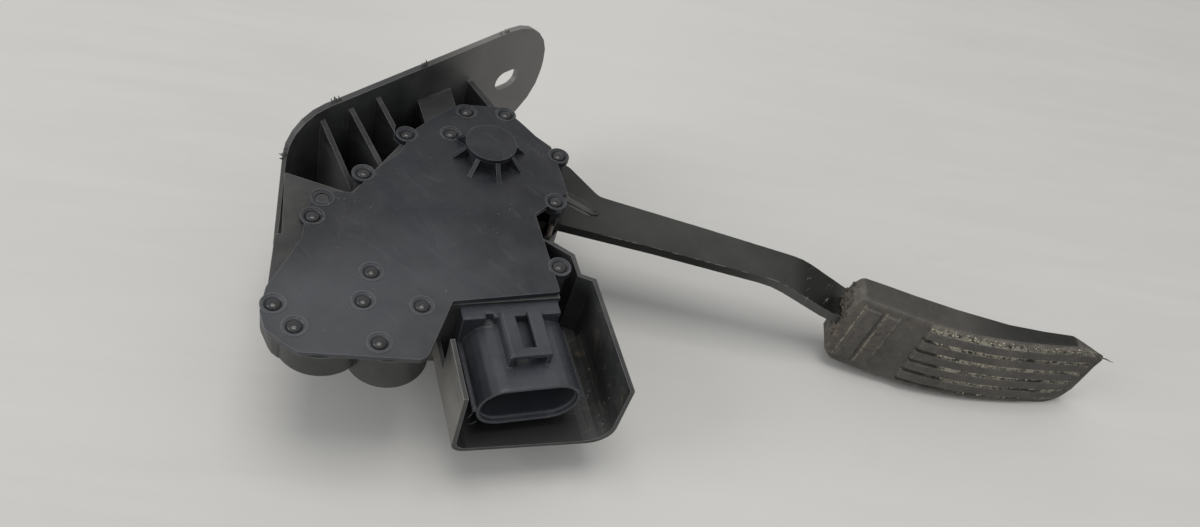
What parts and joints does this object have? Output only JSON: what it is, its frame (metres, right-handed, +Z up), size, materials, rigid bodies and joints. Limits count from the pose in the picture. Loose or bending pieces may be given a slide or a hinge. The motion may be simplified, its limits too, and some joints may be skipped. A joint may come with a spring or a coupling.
{
  "type": "accelerator pedal",
  "caption": "Hinged foot pedal with a steel arm, rubber foot pad, sensor housing with a shrouded socket, staked side cover and a bolt-on flange.",
  "frame": {"origin": "midway between the two round bolt holes, on the back face of the mounting flange", "axes": "+X runs along the pivot axis towards the side cover, +Y points into the bulkhead, -Y points at the driver, +Z is up along the flange"},
  "size_m": [0.0807, 0.2616, 0.2708],
  "materials": {
    "housing_plastic": "moulded, slightly satin, glass-filled",
    "cover_plastic": "moulded, satin",
    "socket_plastic": "moulded, satin",
    "terminal_metal": "tin-plated",
    "board": "lacquered laminate",
    "sensor": "moulded package",
    "bush_metal": "sintered bronze",
    "plated_steel": "zinc-plated",
    "friction_lining": "fibre lining",
    "stop_steel": "dull, discoloured",
    "bumper_rubber": "matt",
    "spring_steel": "oiled spring wire",
    "hub_plastic": "moulded",
    "magnet": "ground",
    "arm_paint": "dark e-coat, worn at the edges",
    "plate_steel": "dark e-coat",
    "pad_rubber": "worn, dusty rubber"
  },
  "bodies": {
    "frame": {"housing": "housing_plastic", "side_cover": "cover_plastic", "connector_shell": "socket_plastic", "terminals": "terminal_metal", "circuit_board": "board", "hall_sensor": "sensor", "cover_bush": "bush_metal", "back_bush": "bush_metal", "spring_anchors": "plated_steel", "wave_washer": "plated_steel", "friction_washer": "friction_lining", "stop_pin": "stop_steel", "stop_bumper": "bumper_rubber", "return_spring_front": "spring_steel", "return_spring_back": "spring_steel"},
    "pedal": {"pivot_shaft": "plated_steel", "arm_hub": "hub_plastic", "hub_rivets": "plated_steel", "magnet": "magnet", "pedal_arm": "arm_paint", "pad_plate": "plate_steel", "plate_rivets": "plated_steel", "pedal_pad": "pad_rubber"}
  },
  "joints": [
    {"name": "pedal_hinge", "type": "hinge", "parent": "frame", "child": "pedal", "pos_m": [0.0334, -0.0424, -0.023], "axis": [1, 0, 0], "range_deg": [0, 18], "stiffness_Nm_per_rad": 9.6, "springref_deg": -19.48, "deforming": ["return_spring_front", "return_spring_back"]}
  ]
}
